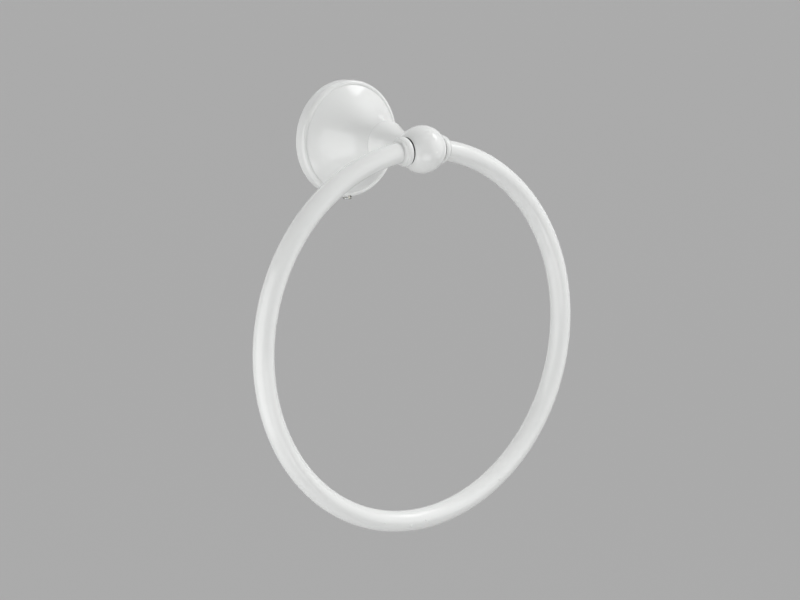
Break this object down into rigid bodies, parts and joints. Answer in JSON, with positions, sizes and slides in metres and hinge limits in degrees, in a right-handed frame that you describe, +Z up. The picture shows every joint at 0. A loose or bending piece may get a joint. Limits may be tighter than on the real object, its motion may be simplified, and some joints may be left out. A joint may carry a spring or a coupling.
{
  "type": "towel ring",
  "caption": "White-painted wall towel ring: a trumpet-shaped flange, tapered neck and ball carry a round tube hoop that swings freely between turned ferrules.",
  "frame": {"origin": "centre of the flange on the wall plane", "axes": "+Z up as it hangs, +Y into the wall, +X to the right seen from the room"},
  "size_m": [0.1651, 0.0645, 0.1858],
  "materials": {
    "white_paint": "satin-gloss white enamel",
    "bare_zinc": "as-cast zinc alloy, tumbled",
    "plated_steel": "bright zinc-plated steel"
  },
  "bodies": {
    "base": {"post": "white_paint", "wall_bracket": "bare_zinc", "set_screw": "plated_steel"},
    "hoop": {"ring": "white_paint", "left_ferrule": "white_paint", "right_ferrule": "white_paint"}
  },
  "joints": [
    {"name": "hoop_swing", "type": "hinge", "parent": "base", "child": "hoop", "pos_m": [0, -0.0545, 0], "axis": [-1, 0, 0], "range_deg": [-18.5, 198.5]}
  ]
}
